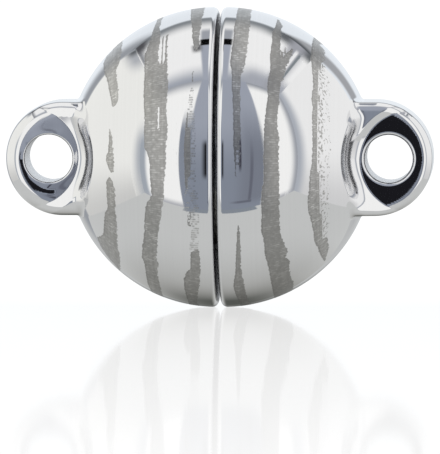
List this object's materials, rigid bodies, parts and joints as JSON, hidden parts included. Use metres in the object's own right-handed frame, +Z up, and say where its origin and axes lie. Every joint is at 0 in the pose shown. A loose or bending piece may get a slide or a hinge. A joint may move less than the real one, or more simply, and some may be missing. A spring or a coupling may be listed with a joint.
{
  "type": "magnetic ball jewellery clasp",
  "caption": "Ball-shaped magnetic jewellery clasp: polished half-balls with eyelet lugs meet at a seam, pull straight apart and swivel.",
  "frame": {"origin": "on the surface that the closed clasp rests on, straight below the middle of the seam", "axes": "+X through both eyelets towards the right half, -Y towards the pictured front, +Z up"},
  "size_m": [0.017, 0.012, 0.012],
  "materials": {
    "polished_steel": "mirror-polished stainless steel with matt laser-etched stripes around the ball",
    "nickel_plate": "satin nickel plating on a sintered magnet"
  },
  "bodies": {
    "plug_half": {"left_half": "polished_steel", "plug_magnet": "nickel_plate"},
    "socket_core": {"socket_magnet": "nickel_plate"},
    "socket_half": {"right_half": "polished_steel"}
  },
  "joints": [
    {"name": "clasp_pull", "type": "slide", "parent": "plug_half", "child": "socket_core", "axis": [1, 0, 0], "range_m": [0, 0.006]},
    {"name": "clasp_swivel", "type": "hinge", "parent": "socket_core", "child": "socket_half", "pos_m": [0, 0, 0.006], "axis": [1, 0, 0], "continuous": true}
  ]
}
